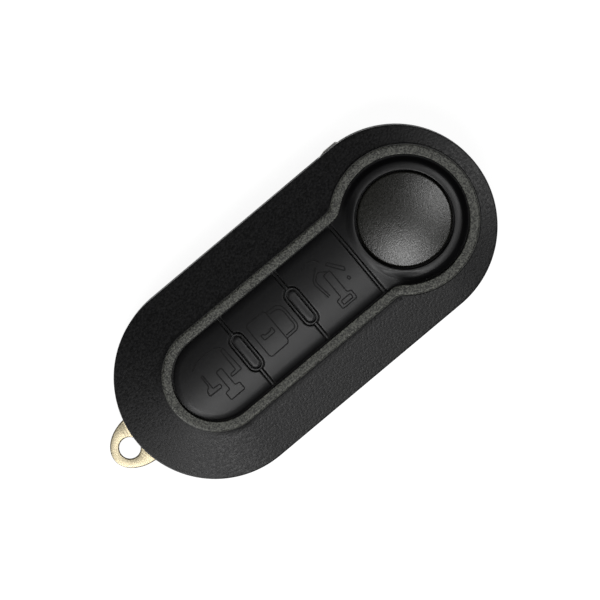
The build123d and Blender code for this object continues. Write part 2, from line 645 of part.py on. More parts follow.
# Hub that carries the blade and turns about the button
with BuildPart() as blade_hub:
    rod(PIVOT_X, 0, HUB_Z0, HUB_Z1, HUB_R)
    block(NECK_X0, PIVOT_X, BLADE_Y0 - NECK_SIDE, BLADE_Y1 + NECK_SIDE, HUB_Z0, HUB_Z1)
    rod(PIVOT_X, 0, JOURNAL_Z, HUB_Z0, JOURNAL_R)
    rod(PIVOT_X, 0, HUB_WELL_Z, HUB_Z1, BORE_R, Mode.SUBTRACT)
    rod(PIVOT_X, 0, CUP_Z, HUB_Z1, CUP_R, Mode.SUBTRACT)
    with BuildSketch(Plane.XY.offset(BLADE_Z)):
        add(blade_outline.sketch)
    extrude(amount=BLADE_T, mode=Mode.SUBTRACT)
    rod(PIN_X, BLADE_Y, HUB_Z0, HUB_Z1, PIN_R, Mode.SUBTRACT)
save(blade_hub, "blade_hub")

# Uncut key blade, with a long milled groove in each face, open at the tip
with BuildPart() as key_blade:
    with BuildSketch(Plane.XY.offset(BLADE_Z)):
        add(blade_outline.sketch)
    extrude(amount=BLADE_T)
    mill_x1 = NECK_X0 - MILL_END
    mill_l = 2 * (mill_x1 - BLADE_TIP_X)
    for mill_y, mill_z in ((BLADE_Y - MILL_Y, BLADE_TOP - MILL_D), (BLADE_Y + MILL_Y, BLADE_Z)):
        with BuildSketch(Plane.XY.offset(mill_z)):
            with Locations((BLADE_TIP_X, mill_y)):
                SlotOverall(mill_l, MILL_W)
        extrude(amount=MILL_D, mode=Mode.SUBTRACT)
    rod(PIN_X, BLADE_Y, BLADE_Z, BLADE_TOP, PIN_R, Mode.SUBTRACT)
save(key_blade, "key_blade")

with BuildPart() as blade_pin:
    rod(PIN_X, BLADE_Y, HUB_Z0, HUB_Z1, PIN_R)
save(blade_pin, "blade_pin")

# Keyring tab: a stamped plate, rounded outside the case, with a hole for the frame's post
with BuildPart() as keyring_tab:
    with BuildSketch(Plane.XY.offset(PART_Z)):
        with Locations((TAB_X, 0)):
            Ellipse(TAB_A, TAB_B)
        with Locations(((TAB_X + TAB_TAIL_X) / 2, 0)):
            Rectangle(TAB_TAIL_X - TAB_X, 2 * TAB_B)
        with Locations((RING_X, 0)):
            Circle(RING_R, mode=Mode.SUBTRACT)
        with Locations((TAB_POST_X, 0)):
            Circle(POST_R + RUN_FIT, mode=Mode.SUBTRACT)
    extrude(amount=TAB_T)
save(keyring_tab, "keyring_tab")

# Battery tray: a drawer with a round pocket, its front flush with the side wall
with BuildPart() as battery_tray:
    block(TRAY_X0, TRAY_X1, TRAY_Y0, TRAY_Y1, TRAY_Z0, TRAY_Z1)
    rod(CELL_X, CELL_Y, TRAY_Z0 + TRAY_FLOOR, TRAY_Z1, CELL_R, Mode.SUBTRACT)
    with Locations((LOCK_X, TRAY_Y0, LOCK_Z)):
        Cylinder(LOCK_R + RUN_FIT, 3 * TRAY_FRONT, rotation=(90, 0, 0), mode=Mode.SUBTRACT)
    block(
        LOCK_X - CAM_L - SLOT_GAP, LOCK_X + LOCK_R + SIDE_GAP, TRAY_Y0 + TRAY_FRONT,
        CAM_Y + CAM_T + SIDE_GAP, TRAY_Z0 + SLOT_GAP, TRAY_Z1, Mode.SUBTRACT,
    )
save(battery_tray, "battery_tray")

# Quarter-turn lock in the front of the tray: slotted head, barrel and cam
with BuildPart() as tray_lock_screw:
    with Locations((LOCK_X, TRAY_Y0, LOCK_Z)):
        Cylinder(
            LOCK_R, CAM_Y + CAM_T - TRAY_Y0, rotation=(-90, 0, 0),
            align=(Align.CENTER, Align.CENTER, Align.MIN),
        )
        Box(2 * LOCK_R, 2 * LOCK_SLOT_D, LOCK_SLOT_W, mode=Mode.SUBTRACT)
    block(LOCK_X - CAM_L, LOCK_X, CAM_Y, CAM_Y + CAM_T, LOCK_Z - CAM_W / 2, LOCK_Z + CAM_W / 2)
save(tray_lock_screw, "tray_lock_screw")

# Leaf contacts above the cell, each with a tail through the frame's plate
for name, leaf_y in zip(("contact_negative", "contact_positive"), LEAF_Y):
    with BuildPart() as leaf:
        leaf_z = PLATE_Z - LEAF_T / 2
        toe_z = TRAY_Z1 + LEAF_GAP
        with BuildSketch(Plane.XZ.offset(-leaf_y - LEAF_W / 2)):
            with BuildLine():
                FilletPolyline(
                    (LEAF_X, PLATE_TOP + LEAF_TAIL), (LEAF_X, leaf_z), (LEAF_X + LEAF_FOOT, leaf_z),
                    (CELL_X, toe_z), (CELL_X + LEAF_TOE, toe_z + LEAF_LIFT), radius=LEAF_BEND,
                )
            trace(line_width=LEAF_T)
        extrude(amount=LEAF_W)
    save(leaf, name)
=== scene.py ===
import bpy
import bmesh
from math import acos, asin, atan2, cos, degrees, hypot, radians, sin, sqrt
from mathutils import Matrix, Vector


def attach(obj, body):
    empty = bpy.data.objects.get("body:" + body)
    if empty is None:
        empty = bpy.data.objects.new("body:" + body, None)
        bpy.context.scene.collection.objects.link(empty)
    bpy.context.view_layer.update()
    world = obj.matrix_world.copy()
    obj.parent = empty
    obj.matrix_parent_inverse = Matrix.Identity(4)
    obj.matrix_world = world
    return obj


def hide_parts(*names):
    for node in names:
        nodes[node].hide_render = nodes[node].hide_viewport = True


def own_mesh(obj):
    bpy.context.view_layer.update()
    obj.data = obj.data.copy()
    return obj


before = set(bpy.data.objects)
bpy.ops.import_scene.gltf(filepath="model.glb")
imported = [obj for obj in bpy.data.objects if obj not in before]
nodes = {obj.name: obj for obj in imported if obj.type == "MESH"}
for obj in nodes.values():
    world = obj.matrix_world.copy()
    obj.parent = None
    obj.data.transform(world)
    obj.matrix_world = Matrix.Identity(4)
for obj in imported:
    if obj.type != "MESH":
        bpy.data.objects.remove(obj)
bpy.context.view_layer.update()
scene = bpy.context.scene

# Sizes in millimetres. Those of whole pieces are the same as in the part.
MM = 0.001
# Case: its round-ended outline, the shoulder that rises from the side wall, and the levels from the
# joint line upwards
CASE_R, CASE_ARC_X, WALL, SEAM, SHOULDER_EDGE = 18.05, 20.95, 1.3, 0.15, 0.62
SIDE_TOP_Z, SLOPE, CASE_T, CEILING_DROP = 13.1, 0.2486, 15.6, 1.1
PART_Z, SKIRT_Z, BLADE_TOP, PLATE_Z, ROOF_Z = 6.5, 8.9, 9.2, 10.9, 12.0
MAT_Z, LIP_Z, KEY_Z = 12.7, 13.5, 14.05
# Keyhole opening: the slot of the keys, the eye of the button, and the rim round both in rows of
# (outwards, height)
SLOT_HALF, SLOT_LEFT_X, EYE_R, NECK_ROUND = 7.95, -20.6, 11.63, 3.8
RIM_ROWS = (
    (0, 13.5), (0, 15.46), (0.045, 15.555), (0.15, 15.6), (1.34, 15.6), (1.48, 15.58), (1.6, 15.53),
    (1.7, 15.45), (1.78, 15.35), (1.85, 15.24),
)
RIM_FOOT, FLANGE, LIP_PLAY = 2.0, 0.85, 0.1
# Openings in the front cover: the blade's channel, the window in which its neck swings round the end,
# and the mouth of the tab. The cuts start below the joint line and end well outside the case.
CHANNEL_X0, CHANNEL_X1, CHANNEL_Y, CHANNEL_OVER = -28.5, 10.22, 2, 0.3
SWING_X0, SWING_X1, SWING_Y = 10.2, 22.62, 2.3
MOUTH_X, MOUTH_HALF, MOUTH_TOP = -32.2, 4.75, 7.75
CUT_Z, OUTSIDE_X, OUTSIDE_Y = 6, 60, 30
# Long curved face that the keys, bars and pills share
CROWN_Z, CROWN_R = 15.5, 26.93
# Mat: the rolled lip round the button, the groove that fades towards the keys, and the play all round
BEZEL_R0, BEZEL_R1, LIP_R, LIP_TOP_Z, LIP_ROLL, LIP_FADE = 8.85, 10.15, 9.1, 15.53, 0.17, 1.5
GROOVE_R, GROOVE_Z, FADE_FROM_DEG, FADE_DEG = 11.4, 14.1, 108, 38
PAD_PLAY, PAD_SOFT, RUN_FIT = 0.1, 0.12, 0.05
# Ribs between the keys, and the pills that stand on the first two
RIB_X, RIB_W, KEY_GAP = (-13.65, -0.98, 12.0), 0.35, 0.3
RIB_STEP, RIB_OVERLAP, RIB_SOFT = 0.38, 0.03, 0.08
PILL_W, PILL_L, PILL_LAND, PILL_GROOVE, PILL_GROOVE_Z = 2.7, 7.8, 0.28, 0.36, 14.1
PILL_SPINE, PILL_SOFT = 0.1, 0.07
# Keys: insets of the rows round the face, the roll beside the rim, and the stem below
KEY_ROWS, KEY_SLICE, KEY_SOFT = (0, 0.25, 0.5, 0.8, 1.15), 0.5, 0.13
EDGE_ROLL_AT, EDGE_ROLL, ROLL_SLICE = 6.1, 0.24, 0.2
STEM_R, STEM_Z, STEM_H = 1.6, 12.5, 2.05
# Round button with its hooks, and the spring below it
PIVOT_X, BUTTON_R, BUTTON_SAG, BUTTON_WALL, BUTTON_CAP = 22.92, 8.5, 1.0, 1.3, 2.2
BRIM_SOFT, HOOK_AT, HOOK_SIZE, HOOK_TURNS = 0.32, 8.775, (1.85, 2.5, 1.3), (60, 180, 300)
CUP_Z, SPRING_WIRE, SPRING_TURNS, SPRING_R = 4.6, 0.9, 4, 5.5
# Key blade: flat outline, softer nose of the heel, and the two milled grooves
BLADE_Z, BLADE_Y, BLADE_HALF, GRIND = 6.8, 12.9, 3.9, 0.2
TIP_X, TIP_L, TIP_HALF = -27.0, 3.2, 1.4
TANG_X, TANG_Y, HEEL_X0, HEEL_X1, HEEL_Y = 15.52, 12.2, 19.6, 22.2, 18.4
NOSE_X0, NOSE_X1, NOSE_Y, NOSE_RISE0, NOSE_RISE1 = 17.6, 22.85, 17.4, 0.5, 0.4
MILL_Y, MILL_W, MILL_D, MILL_END_X, MILL_RUN_OUT = 1.6, 1.6, 0.7, 6.72, 4
# Keyring tab: half a flattened disc with a straight tail, the ring's hole and the post's hole
TAB_X, TAB_A, TAB_B, TAB_T, TAB_END, TAB_SOFT = -38.0, 6.5, 4.65, 1.2, -28.2, 0.26
RING_X, RING_R, POST_X, POST_R = -40.95, 1.93, -32.2, 2.15
# Raised line of the signs on the keys
SIGN_LINE, SIGN_SINK, SIGN_STEP = 0.3, 0.06, 0.55

# Lines of the same height can be joined the wrong way round, so one of the two is set a hair higher
OFF_LEVEL = 0.01
# Faces that meet at more than SHARP degrees keep a crisp edge, and edges over EDGE degrees get softened
SHARP, EDGE = 32.0, 50

# Round fillets where the slot of the keys opens into the eye of the button
NECK_Y = SLOT_HALF + NECK_ROUND
NECK_X = PIVOT_X - sqrt((EYE_R + NECK_ROUND) ** 2 - NECK_Y**2)
NECK_DEG = 90 + degrees(acos(NECK_Y / (EYE_R + NECK_ROUND)))


# ---------------------------------------------------------------- how a piece is made
def loop(bm, start, legs):
    """A closed line of points. A leg turns about a centre or runs straight, in equal steps."""
    draft = bmesh.new()
    first = point = draft.verts.new(start)
    for leg in legs:
        if leg[0] == "turn":
            _, x, y, turned, steps = leg
            step = bmesh.ops.spin(
                draft, geom=[point], cent=(x, y, start[2]), axis=(0, 0, 1),
                angle=radians(turned), steps=steps, use_duplicate=False,
            )
        else:
            _, x, y, steps = leg
            step = bmesh.ops.spin(
                draft, geom=[point], cent=start, axis=(0, 0, 1), dvec=(x / steps, y / steps, 0),
                angle=0, steps=steps, use_duplicate=False,
            )
        point = step["geom_last"][0]
    bmesh.ops.weld_verts(draft, targetmap={point: first})
    return add_draft(bm, draft)


def add_draft(bm, draft):
    """Put a small bmesh into a larger one, and give its edges there."""
    mesh = bpy.data.meshes.new("draft")
    draft.to_mesh(mesh)
    draft.free()
    older = set(bm.edges)
    bm.from_mesh(mesh)
    bpy.data.meshes.remove(mesh)
    return [edge for edge in bm.edges if edge not in older]


def keyhole(bm, out, z):
    """Outline of the keyhole opening, set outwards by a distance."""
    eye, end = EYE_R + out, SLOT_HALF + out
    swing = NECK_DEG - 90
    start = (PIVOT_X + eye * cos(radians(NECK_DEG)), -eye * sin(radians(NECK_DEG)), z)
    run = NECK_X - SLOT_LEFT_X
    return loop(bm, start, [
        ("turn", PIVOT_X, 0, 2 * NECK_DEG, 128), ("turn", NECK_X, NECK_Y, -swing, 8),
        ("run", -run, 0, 8), ("turn", SLOT_LEFT_X, 0, 180, 64), ("run", run, 0, 8),
        ("turn", NECK_X, -NECK_Y, -swing, 8),
    ])


def case_line(bm, radius, z):
    """Outline of the case at a radius, with as many points as the keyhole."""
    near, far = CASE_ARC_X - NECK_X, CASE_ARC_X + NECK_X
    return loop(bm, (CASE_ARC_X, -radius, z), [
        ("turn", CASE_ARC_X, 0, 180, 128), ("run", -near, 0, 8), ("run", -far, 0, 8),
        ("turn", -CASE_ARC_X, 0, 180, 64), ("run", far, 0, 8), ("run", near, 0, 8),
    ])


def ring(bm, x, y, radius, z, steps=240):
    """A circle of points about an upright axis."""
    return loop(bm, (x + radius, y, z), [("turn", x, y, 360, steps)])


def skin(bm, lines, cuts=0):
    """Faces between each line and the next, with more rows of points between if wanted."""
    older = set(bm.faces)
    for near, far in zip(lines, lines[1:]):
        bmesh.ops.bridge_loops(bm, edges=near + far)
    if cuts:
        kept = {edge for line in lines for edge in line}
        across = {edge for face in set(bm.faces) - older for edge in face.edges} - kept
        bmesh.ops.subdivide_edges(bm, edges=list(across), cuts=cuts, use_grid_fill=True)
    return {vert for face in set(bm.faces) - older for vert in face.verts}


def drape(bm, verts, height):
    """Set each point on the surface that a height function describes."""
    for vert in verts:
        vert.co.z = height(vert.co.x, vert.co.y)
    bm.normal_update()


def slice_across(bm, faces, places):
    """Cut faces at set places along y, so that they can follow a curve there."""
    kept = set(bm.faces) - set(faces)
    for y in places:
        parts = [face for face in bm.faces if face not in kept]
        parts += list({item for face in parts for item in (*face.edges, *face.verts)})
        bmesh.ops.bisect_plane(bm, geom=parts, dist=0.0001, plane_co=(0, y, 0), plane_no=(0, 1, 0))


def is_edge(edge):
    """Whether two faces meet here at a clear angle."""
    return len(edge.link_faces) == 2 and edge.calc_face_angle(0) > radians(EDGE)


def is_level(edge):
    """Whether both ends of an edge are at one height."""
    return abs(edge.verts[0].co.z - edge.verts[1].co.z) < 0.01


def soften(bm, edges, size, segments=3):
    """Round edges over by a size."""
    bmesh.ops.bevel(
        bm, geom=edges, offset=size, offset_type="OFFSET", segments=segments, profile=0.5,
        affect="EDGES", material=-1, clamp_overlap=True,
    )


def smooth(mesh):
    """Shade faces smooth, up to the crisp edges."""
    mesh.shade_smooth()
    mesh.set_sharp_from_angle(angle=radians(SHARP))


def piece(bm, name, body, finish, stands_for=()):
    """Turn a finished bmesh in millimetres into a piece in place, riding on a body."""
    bmesh.ops.recalc_face_normals(bm, faces=bm.faces)
    bmesh.ops.scale(bm, vec=(MM, MM, MM), verts=bm.verts)
    mesh = bpy.data.meshes.new(name)
    bm.to_mesh(mesh)
    bm.free()
    smooth(mesh)
    mesh.materials.append(finish)
    obj = bpy.data.objects.new(name, mesh)
    scene.collection.objects.link(obj)
    obj.modifiers.new("even_normals", "WEIGHTED_NORMAL").keep_sharp = True
    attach(obj, body)
    if stands_for:
        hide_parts(*stands_for)
    return obj


def raise_face(bm, faces, height):
    """Give a flat outline its thickness upwards."""
    raised = bmesh.ops.extrude_face_region(bm, geom=faces, use_keep_orig=True)
    tops = [item for item in raised["geom"] if isinstance(item, bmesh.types.BMVert)]
    bmesh.ops.translate(bm, vec=(0, 0, height), verts=tops)


def flat_plate(bm, edges, height):
    """A plate from its outline and the outlines of its holes."""
    plate = bmesh.ops.triangle_fill(bm, edges=edges, use_beauty=True, normal=(0, 0, 1))
    raise_face(bm, [item for item in plate["geom"] if isinstance(item, bmesh.types.BMFace)], height)


def box(x0, x1, y0, y1, z0, z1):
    """A box-shaped tool to cut with."""
    tool = bmesh.new()
    place = Vector((x0 + x1, y0 + y1, z0 + z1)) / 2
    size = Vector((x1 - x0, y1 - y0, z1 - z0))
    bmesh.ops.create_cube(tool, size=1, matrix=Matrix.LocRotScale(place, None, size))
    return tool


def milled(x0, x1, y, width, z0, z1):
    """What a round milling cutter clears when it runs along x."""
    tool = bmesh.new()
    line = loop(tool, (x0, y - width / 2, z0), [
        ("run", x1 - x0, 0, 1), ("turn", x1, y, 180, 16), ("run", x0 - x1, 0, 1),
        ("turn", x0, y, 180, 16),
    ])
    raise_face(tool, bmesh.ops.contextual_create(tool, geom=line)["faces"], z1 - z0)
    return tool


def slab(corners, z0, z1):
    """A plate with straight sides, from its corners."""
    bm = bmesh.new()
    line = loop(bm, (*corners[0], z0), [
        ("run", x1 - x0, y1 - y0, 1) for (x0, y0), (x1, y1) in zip(corners, corners[1:] + corners[:1])
    ])
    raise_face(bm, bmesh.ops.contextual_create(bm, geom=line)["faces"], z1 - z0)
    return bm


def cut_out(obj, tools):
    """Take the shapes of closed tools, in millimetres, out of a piece. Its even normals come last."""
    obj.modifiers["even_normals"].show_viewport = False
    for tool in tools:
        bmesh.ops.recalc_face_normals(tool, faces=tool.faces)
        bmesh.ops.scale(tool, vec=(MM, MM, MM), verts=tool.verts)
        mesh = bpy.data.meshes.new("opening")
        tool.to_mesh(mesh)
        tool.free()
        cutter = bpy.data.objects.new("opening", mesh)
        scene.collection.objects.link(cutter)
        cut = obj.modifiers.new("opening", "BOOLEAN")
        cut.object = cutter
        cut.operation = "DIFFERENCE"
        cut.solver = "FAST"
        ready = obj.evaluated_get(bpy.context.evaluated_depsgraph_get())
        shape = bpy.data.meshes.new_from_object(ready)
        obj.modifiers.remove(cut)
        obj.data = shape
        bpy.data.objects.remove(cutter)
    obj.modifiers["even_normals"].show_viewport = True
    smooth(obj.data)


# ---------------------------------------------------------------- materials
def nodes_of(material):
    """A material's nodes, its links and its shader."""
    tree = material.node_tree
    return tree.nodes, tree.links, tree.nodes["Principled BSDF"]


def moulded(
    name, color, rough, grain, depth, specular=0.5, fleck=0.3, metal=0.0, sheen_spread=0.05,
    detail=3.0, drawn_out=1.0,
):
    """A moulded, stamped or ground surface: a grain with its size and depth in millimetres, that also
    varies the tone and the gloss. On ground metal the grain is drawn out along x."""
    material = bpy.data.materials.new(name)
    material.use_nodes = True
    shapes, links, shader = nodes_of(material)
    shader.inputs["Metallic"].default_value = metal
    shader.inputs["Specular IOR Level"].default_value = specular
    place = shapes.new("ShaderNodeTexCoord")
    fine = shapes.new("ShaderNodeTexNoise")
    fine.name = "grain"
    fine.inputs["Scale"].default_value = 1 / (grain * MM)
    fine.inputs["Detail"].default_value = detail
    fine.inputs["Roughness"].default_value = 0.6
    along = shapes.new("ShaderNodeMapping")
    along.inputs["Scale"].default_value = (1 / drawn_out, 1, 1)
    links.new(place.outputs["Object"], along.inputs["Vector"])
    links.new(along.outputs["Vector"], fine.inputs["Vector"])
    bump = shapes.new("ShaderNodeBump")
    bump.inputs["Distance"].default_value = depth * MM
    bump.inputs["Strength"].default_value = 1.0
    links.new(fine.outputs["Fac"], bump.inputs["Height"])
    links.new(bump.outputs["Normal"], shader.inputs["Normal"])
    tone = shapes.new("ShaderNodeValToRGB")
    tone.name = "tone"
    tone.color_ramp.elements[0].position = 0.35
    tone.color_ramp.elements[1].position = 0.68
    tone.color_ramp.elements[0].color = (*[c * (1 - fleck) for c in color], 1)
    tone.color_ramp.elements[1].color = (*[min(1, c * (1 + fleck)) for c in color], 1)
    links.new(fine.outputs["Fac"], tone.inputs["Fac"])
    links.new(tone.outputs["Color"], shader.inputs["Base Color"])
    gloss = shapes.new("ShaderNodeMapRange")
    gloss.inputs["From Min"].default_value = 0.3
    gloss.inputs["From Max"].default_value = 0.7
    gloss.inputs["To Min"].default_value = rough - sheen_spread
    gloss.inputs["To Max"].default_value = rough + sheen_spread
    links.new(fine.outputs["Fac"], gloss.inputs["Value"])
    links.new(gloss.outputs["Result"], shader.inputs["Roughness"])
    return material


def lighter_rim(material, color, grain, low, high):
    """The raised rim has a paler, speckled face. Its tone takes over between two heights in millimetres."""
    shapes, links, shader = nodes_of(material)
    place = shapes.new("ShaderNodeTexCoord")
    axes = shapes.new("ShaderNodeSeparateXYZ")
    links.new(place.outputs["Object"], axes.inputs["Vector"])
    above = shapes.new("ShaderNodeMapRange")
    above.inputs["From Min"].default_value = low * MM
    above.inputs["From Max"].default_value = high * MM
    links.new(axes.outputs["Z"], above.inputs["Value"])
    speck = shapes.new("ShaderNodeTexNoise")
    speck.inputs["Scale"].default_value = 1 / (grain * MM)
    speck.inputs["Detail"].default_value = 2.0
    links.new(place.outputs["Object"], speck.inputs["Vector"])
    pale = shapes.new("ShaderNodeValToRGB")
    pale.color_ramp.elements[0].position = 0.41
    pale.color_ramp.elements[1].position = 0.63
    pale.color_ramp.elements[0].color = (*[c * 0.3 for c in color], 1)
    pale.color_ramp.elements[1].color = (*[c * 2.1 for c in color], 1)
    links.new(speck.outputs["Fac"], pale.inputs["Fac"])
    blend = shapes.new("ShaderNodeMix")
    blend.data_type = "RGBA"
    links.new(above.outputs["Result"], blend.inputs["Factor"])
    links.new(shapes["tone"].outputs["Color"], blend.inputs["A"])
    links.new(pale.outputs["Color"], blend.inputs["B"])
    links.new(blend.outputs["Result"], shader.inputs["Base Color"])


def painted_edge_shade(material, share):
    """Painted shade along a stamped tab's edges: its tone drops to a share where the face isn't level, so
    the tilted edges render dark.
    """
    shapes, links, shader = nodes_of(material)
    lie = shapes.new("ShaderNodeNewGeometry")
    axes = shapes.new("ShaderNodeSeparateXYZ")
    links.new(lie.outputs["Normal"], axes.inputs["Vector"])
    flat = shapes.new("ShaderNodeMapRange")
    flat.inputs["From Min"].default_value = 0.7
    flat.inputs["From Max"].default_value = 0.98
    flat.inputs["To Min"].default_value = share
    upright = shapes.new("ShaderNodeMath")
    upright.operation = "ABSOLUTE"
    links.new(axes.outputs["Z"], upright.inputs[0])
    links.new(upright.outputs["Value"], flat.inputs["Value"])
    dull = shapes.new("ShaderNodeVectorMath")
    dull.operation = "SCALE"
    links.new(shapes["tone"].outputs["Color"], dull.inputs[0])
    links.new(flat.outputs["Result"], dull.inputs["Scale"])
    links.new(dull.outputs["Vector"], shader.inputs["Base Color"])


case_black = moulded(
    "case_black_plastic", (0.0028, 0.0028, 0.0031), rough=0.41, grain=0.42, depth=0.041, specular=0.35,
    sheen_spread=0.1, detail=1.6,
)
lighter_rim(case_black, (0.0445, 0.0455, 0.039), grain=0.28, low=15.25, high=15.56)
mat_black = moulded(
    "keypad_silicone", (0.0038, 0.0038, 0.0042), rough=0.38, grain=0.2, depth=0.006, specular=0.405,
)
sign_black = moulded(
    "sign_dull_silicone", (0.002, 0.002, 0.002), rough=0.62, grain=0.1, depth=0.004, specular=0.25,
)
button_black = moulded(
    "button_satin_plastic", (0.0105, 0.0104, 0.0085), rough=0.29, grain=0.28, depth=0.034,
    specular=0.64, sheen_spread=0.08,
)
frame_black = moulded("frame_nylon", (0.015, 0.015, 0.016), rough=0.55, grain=0.3, depth=0.01)
blade_steel = moulded(
    "blade_ground_steel", (0.60, 0.59, 0.57), rough=0.4, grain=0.16, depth=0.006, metal=1.0, fleck=0.12,
    sheen_spread=0.08, drawn_out=24.0,
)
spring_steel = moulded(
    "spring_wire_steel", (0.5, 0.5, 0.5), rough=0.3, grain=0.15, depth=0.003, metal=1.0, fleck=0.1,
)
contact_nickel = moulded(
    "contact_nickel", (0.7, 0.68, 0.62), rough=0.3, grain=0.15, depth=0.002, metal=1.0, fleck=0.06,
)
tab_brass = moulded(
    "tab_pale_brass", (0.72, 0.633, 0.438), rough=0.46, grain=0.22, depth=0.02, metal=1.0, fleck=0.24,
)
# Painted shade: the tab's tilted edges and hole walls get a darker tone than its level faces
painted_edge_shade(tab_brass, share=0.22)

# The plain solids that stay in view, by the names of their slots
CAD_FINISH = {
    "case_plastic": case_black, "frame_plastic": frame_black, "silicone": mat_black,
    "button_plastic": button_black, "spring_steel": spring_steel, "blade_steel": blade_steel,
    "contact_metal": contact_nickel, "tab_brass": tab_brass,
}
for node in nodes.values():
    for place in node.material_slots:
        place.material = CAD_FINISH[place.material.name.split(".")[0]]


# ---------------------------------------------------------------- front cover
def shoulder_z(x, y):
    """Height of the sloping shoulder, which falls evenly to the side wall all round."""
    across = hypot(max(abs(x) - CASE_ARC_X, 0), y)
    return SIDE_TOP_Z + SLOPE * (CASE_R - across)


def ceiling_z(x, y):
    """Height of the underside, below the shoulder and the lip that holds the mat."""
    return min(shoulder_z(x, y) - CEILING_DROP, LIP_Z)


bm = bmesh.new()
rim = [keyhole(bm, out, z) for out, z in RIM_ROWS]
rim_foot = keyhole(bm, RIM_FOOT, SIDE_TOP_Z)
side_top = case_line(bm, CASE_R, SIDE_TOP_Z)
drape(bm, skin(bm, [rim_foot, side_top], cuts=10), shoulder_z)
skin(bm, rim + [rim_foot])
side_low = case_line(bm, CASE_R, PART_Z + SEAM)
side_end = case_line(bm, CASE_R - SEAM, PART_Z)
wall_low = case_line(bm, CASE_R - WALL, PART_Z)
wall_top = case_line(bm, CASE_R - WALL, ROOF_Z)
skin(bm, [side_top, side_low, side_end, wall_low, wall_top])
lip_out = keyhole(bm, FLANGE + LIP_PLAY, LIP_Z)
drape(bm, skin(bm, [wall_top, lip_out], cuts=6), ceiling_z)
skin(bm, [lip_out, rim[0]])
soften(bm, side_top, SHOULDER_EDGE, 6)
front_cover = piece(bm, "front_cover_moulding", "case", case_black, ["front_cover"])
cut_out(front_cover, [
    box(CHANNEL_X0, CHANNEL_X1, CHANNEL_Y, OUTSIDE_Y, CUT_Z, BLADE_TOP + CHANNEL_OVER),
    slab((
        (SWING_X0, SWING_Y), (SWING_X1, SWING_Y), (SWING_X1, -OUTSIDE_Y), (OUTSIDE_X, -OUTSIDE_Y),
        (OUTSIDE_X, OUTSIDE_Y), (SWING_X0, OUTSIDE_Y),
    ), CUT_Z, PLATE_Z),
    box(-OUTSIDE_X, MOUTH_X, -MOUTH_HALF, MOUTH_HALF, CUT_Z, MOUTH_TOP),
])


# ---------------------------------------------------------------- keypad mat
def crown_z(x, y):
    """Height of the long curved face that the keys and bars share."""
    return CROWN_Z - CROWN_R + sqrt(CROWN_R**2 - y**2)


def ease(t):
    """From 0 to 1 with a soft start and end."""
    t = min(max(t, 0), 1)
    return t * t * (3 - 2 * t)


def mat_z(x, y):
    """Top of the mat round the button: a rolled lip, then a groove that fades out towards the keys."""
    away = hypot(x - PIVOT_X, y)
    around = abs(degrees(atan2(y, x - PIVOT_X)))
    eye_z = LIP_TOP_Z - LIP_ROLL * (away - LIP_R) ** 2
    if away > BEZEL_R1:
        edge_z = LIP_TOP_Z - LIP_ROLL * (BEZEL_R1 - LIP_R) ** 2
        slope = -2 * LIP_ROLL * (BEZEL_R1 - LIP_R)
        fall = min((away - BEZEL_R1) / (GROOVE_R - BEZEL_R1), 1)
        eye_z = edge_z + slope * (away - BEZEL_R1) * (1 - fall) ** 2 + (GROOVE_Z - edge_z) * ease(fall)
    pad = ease((around - FADE_FROM_DEG) / FADE_DEG) * ease((away - LIP_R) / LIP_FADE)
    return eye_z + (crown_z(x, y) - eye_z) * pad


def stadium_y(bm, x, radius, half, z):
    """Small upright stadium outline, for the pills between the keys."""
    run = 2 * half
    return loop(bm, (x + radius, -half, z), [
        ("run", 0, run, 14), ("turn", x, half, 180, 20), ("run", 0, -run, 14), ("turn", x, -half, 180, 20),
    ])


def pad_line(bm, z):
    """Outline of the pad round the button, from the neck to the gap beside the last rib."""
    eye, side = EYE_R - PAD_PLAY, SLOT_HALF - PAD_PLAY
    pad_x = RIB_X[2] + RIB_W / 2 + KEY_GAP
    swing = NECK_DEG - 90
    start = (PIVOT_X + eye * cos(radians(NECK_DEG)), -eye * sin(radians(NECK_DEG)), z)
    return loop(bm, start, [
        ("turn", PIVOT_X, 0, 2 * NECK_DEG, 128), ("turn", NECK_X, NECK_Y, -swing, 8),
        ("run", pad_x - NECK_X, 0, 2), ("run", 0, -2 * side, 92), ("run", NECK_X - pad_x, 0, 2),
        ("turn", NECK_X, -NECK_Y, -swing, 8),
    ])


bm = bmesh.new()
# Thin sheet under the keys, with holes for the button and the stems
edges = keyhole(bm, FLANGE - RUN_FIT, MAT_Z) + ring(bm, PIVOT_X, 0, BEZEL_R0, MAT_Z)
KEY_EDGES = (SLOT_LEFT_X - SLOT_HALF, *RIB_X)
STEM_X = [(left + right) / 2 for left, right in zip(KEY_EDGES, KEY_EDGES[1:])]
for stem_x in STEM_X:
    edges += ring(bm, stem_x, 0, STEM_R + RUN_FIT, MAT_Z, steps=40)
flat_plate(bm, edges, LIP_Z - MAT_Z)
# Pad and rolled lip round the button
lip_in = ring(bm, PIVOT_X, 0, BEZEL_R0, LIP_Z)
lip_out = ring(bm, PIVOT_X, 0, BEZEL_R1, LIP_Z)
pad_out = pad_line(bm, LIP_Z)
drape(bm, skin(bm, [lip_in, lip_out], cuts=9), mat_z)
drape(bm, skin(bm, [lip_out, pad_out], cuts=9), mat_z)
low_in = ring(bm, PIVOT_X, 0, BEZEL_R0, MAT_Z)
low_mid = ring(bm, PIVOT_X, 0, BEZEL_R1, MAT_Z + OFF_LEVEL)
low_out = pad_line(bm, MAT_Z)
skin(bm, [pad_out, low_out, low_mid, low_in, lip_in])
soften(bm, pad_out, PAD_SOFT)
soften(bm, lip_in, PAD_SOFT)
